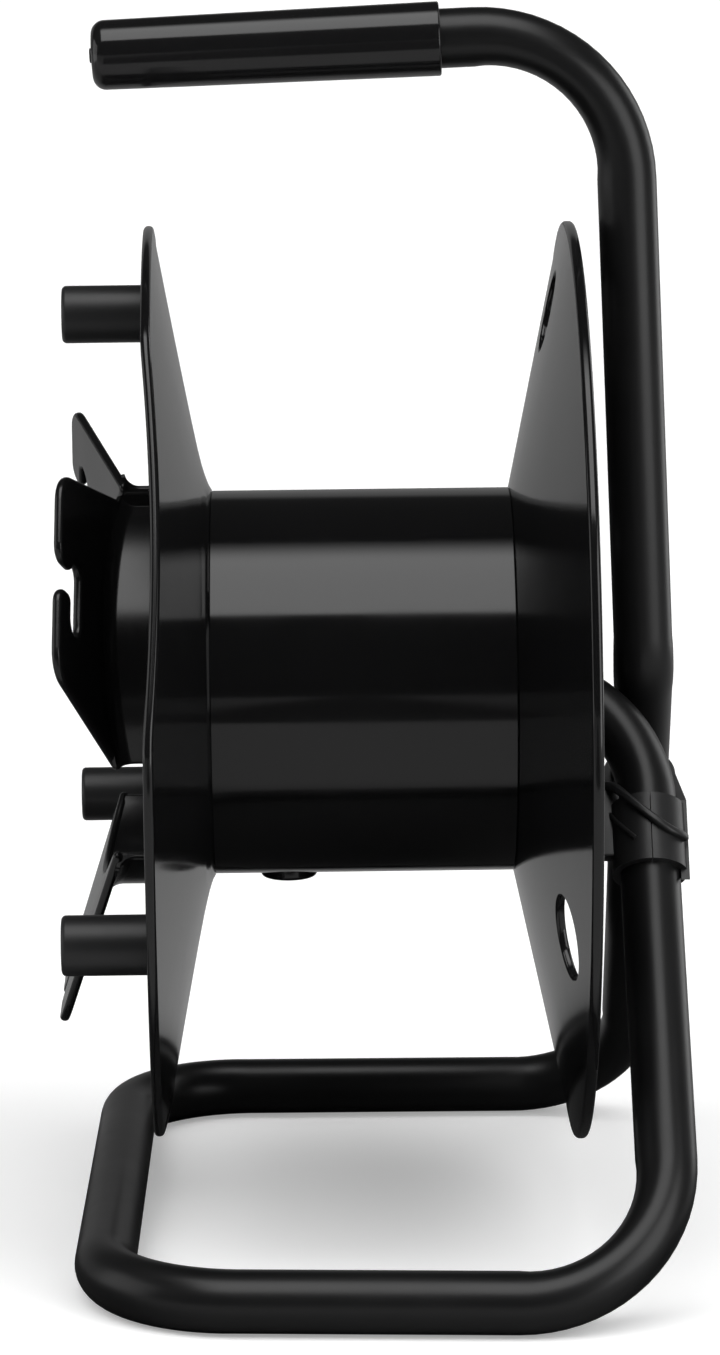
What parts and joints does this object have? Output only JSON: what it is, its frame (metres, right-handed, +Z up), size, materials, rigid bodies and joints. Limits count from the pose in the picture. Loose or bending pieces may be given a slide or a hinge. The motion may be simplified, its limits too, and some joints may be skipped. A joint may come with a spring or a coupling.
{
  "type": "hand-carried garden hose reel",
  "caption": "Free-standing hose reel on one bent steel tube that forms handle, legs and base loop; the spool turns on the tube's end, with winding pegs and hooks on its open side.",
  "frame": {"origin": "on the floor, under the middle of the whole reel's box", "axes": "+X along the axle towards the legs and upright, +Y away from the front, +Z up"},
  "size_m": [0.2025, 0.2948, 0.3951],
  "materials": {
    "powder_coat": "satin black powder coat on steel tube",
    "grip_vinyl": "glossy black dipped vinyl sleeve",
    "spool_plastic": "glossy black moulded polypropylene",
    "moulded_plastic": "matt black moulded plastic with a fine grain",
    "clamp_plastic": "satin black moulded plastic",
    "zinc_steel": "bright zinc plate on steel",
    "nylon": "natural white nylon"
  },
  "bodies": {
    "frame": {"frame_tube": "powder_coat", "handle_grip": "grip_vinyl", "clamp_inner": "clamp_plastic", "clamp_outer": "clamp_plastic", "clamp_screw": "zinc_steel", "clamp_nut": "zinc_steel", "axle_plug": "moulded_plastic", "axle_screw": "zinc_steel", "axle_washer": "zinc_steel", "axle_stop_ring": "zinc_steel"},
    "drum": {"barrel": "spool_plastic", "free_flange": "spool_plastic", "leg_flange": "spool_plastic", "bush_free_end": "nylon", "bush_leg_end": "nylon", "hose_hook_1": "moulded_plastic", "hose_hook_2": "moulded_plastic", "hose_hook_3": "moulded_plastic", "winding_peg_1": "moulded_plastic", "winding_peg_2": "moulded_plastic", "winding_peg_3": "moulded_plastic", "hook_screws": "zinc_steel", "tie_bolts": "zinc_steel", "tie_nuts": "zinc_steel", "hub_cap": "spool_plastic", "anchor_button": "spool_plastic"}
  },
  "joints": [
    {"name": "drum_spin", "type": "hinge", "parent": "frame", "child": "drum", "pos_m": [-0.00359, 0, 0.1765], "axis": [0.9999, 0, 0.0113], "continuous": true}
  ]
}
